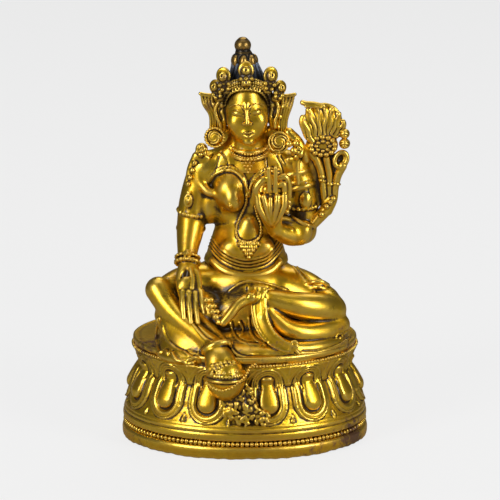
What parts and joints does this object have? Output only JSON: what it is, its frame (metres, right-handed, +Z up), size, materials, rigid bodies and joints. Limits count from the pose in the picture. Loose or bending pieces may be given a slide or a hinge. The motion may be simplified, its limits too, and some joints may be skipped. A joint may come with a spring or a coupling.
{
  "type": "tara figure",
  "caption": "Gilt bronze figure of a seated Green Tara with a lotus at the shoulder, cast in one with its oval double lotus base.",
  "frame": {"origin": "middle of the flat underside of the base", "axes": "+Z up, +X to the viewer's right as the viewer faces the figure, the figure faces -Y"},
  "size_m": [0.1078, 0.0953, 0.1755],
  "materials": {
    "gilding": "worn mercury gilding, polished, with brown patina in the recesses"
  },
  "bodies": {
    "root": {"tara_figure_on_lotus_base": "gilding"}
  },
  "joints": []
}
